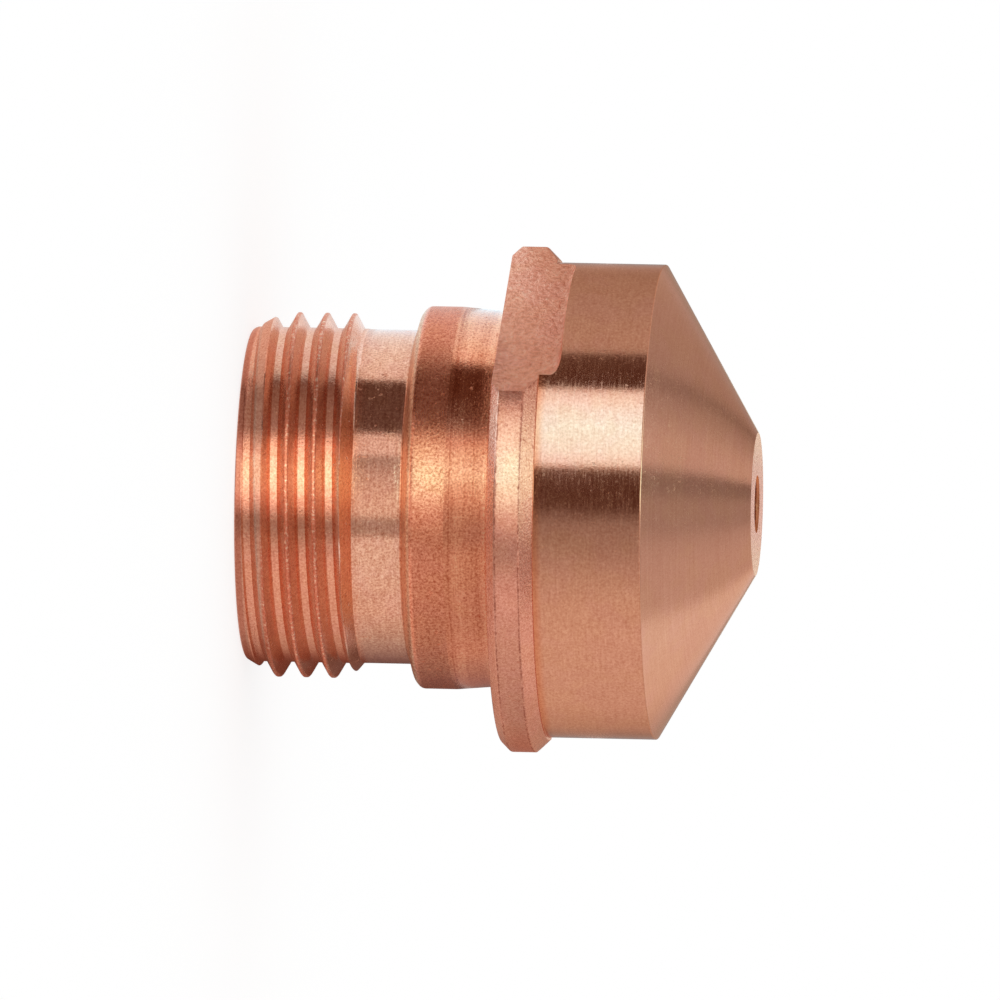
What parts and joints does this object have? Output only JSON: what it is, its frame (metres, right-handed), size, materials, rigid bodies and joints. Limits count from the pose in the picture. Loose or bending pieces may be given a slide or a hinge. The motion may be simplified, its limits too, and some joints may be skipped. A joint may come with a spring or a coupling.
{
  "type": "plasma torch nozzle",
  "caption": "Copper plasma torch nozzle, turned in one piece, with a rear screw thread, a centring collar, a flange with two wrench flats, and a blunt cone with a small central orifice.",
  "frame": {"origin": "centre of the rear rim, at the threaded end, on which the nozzle stands", "axes": "+Z along the nozzle's axis towards the nose, and the two wrench flats face -Y and +Y"},
  "size_m": [0.0276, 0.0258, 0.0277],
  "materials": {
    "copper": "bare copper, satin turned, with a dull milled flange and flats"
  },
  "bodies": {
    "root": {"nozzle": "copper"}
  },
  "joints": []
}
